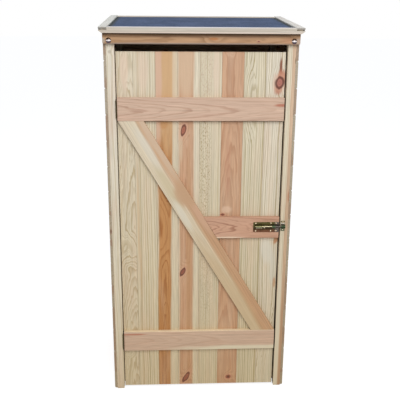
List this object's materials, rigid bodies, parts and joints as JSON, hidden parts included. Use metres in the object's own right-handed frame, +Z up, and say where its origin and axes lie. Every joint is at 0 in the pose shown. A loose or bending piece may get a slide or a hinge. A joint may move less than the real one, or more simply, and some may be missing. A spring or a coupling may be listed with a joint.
{
  "type": "garden tool cabinet",
  "caption": "Tall narrow softwood garden tool cabinet with a full-height braced door, a barrel bolt and a felted pent roof.",
  "frame": {"origin": "middle of the roof's plan, on the ground", "axes": "+Z up, -Y towards the door, +X to the right seen from the door"},
  "size_m": [0.77, 0.54, 1.5922],
  "materials": {
    "pine": "planed, untreated",
    "heart_pine": "planed, untreated",
    "roofing_felt": "mineral-surfaced bitumen felt",
    "bright_zinc": "bright zinc plated",
    "yellow_zinc": "yellow passivated zinc"
  },
  "bodies": {
    "cabinet": {"post_front_left": "pine", "post_front_right": "pine", "post_back_left": "pine", "post_back_right": "pine", "header_rail": "heart_pine", "header_bolts": "bright_zinc", "back_top_rail": "pine", "side_top_rail_left": "pine", "side_top_rail_right": "pine", "bottom_rail_front": "heart_pine", "bottom_rail_back": "heart_pine", "bottom_rail_left": "heart_pine", "bottom_rail_right": "heart_pine", "left_wall": "pine", "right_wall": "pine", "back_wall": "pine", "floor_boards": "pine", "roof_board": "pine", "roof_felt": "roofing_felt", "roof_moulding_front": "pine", "roof_moulding_back": "pine", "roof_moulding_left": "pine", "roof_moulding_right": "pine", "hinge_upper_post_leaf": "yellow_zinc", "hinge_lower_post_leaf": "yellow_zinc", "latch_keeper": "yellow_zinc"},
    "door": {"door_boards": "pine", "door_top_rail": "heart_pine", "door_middle_rail": "heart_pine", "door_bottom_rail": "heart_pine", "door_brace": "pine", "hinge_upper_door_leaf": "yellow_zinc", "hinge_lower_door_leaf": "yellow_zinc", "latch_plate": "yellow_zinc", "latch_guide_left": "yellow_zinc", "latch_guide_right": "yellow_zinc"},
    "bolt_rod": {"latch_rod": "yellow_zinc", "latch_knob": "yellow_zinc"}
  },
  "joints": [
    {"name": "door_swing", "type": "hinge", "parent": "cabinet", "child": "door", "pos_m": [-0.33, -0.2348, 0.75], "axis": [0, 0, -1], "range_deg": [0, 170]},
    {"name": "bolt_slide", "type": "slide", "parent": "door", "child": "bolt_rod", "axis": [1, 0, 0], "range_m": [-0.002, 0.02]}
  ]
}
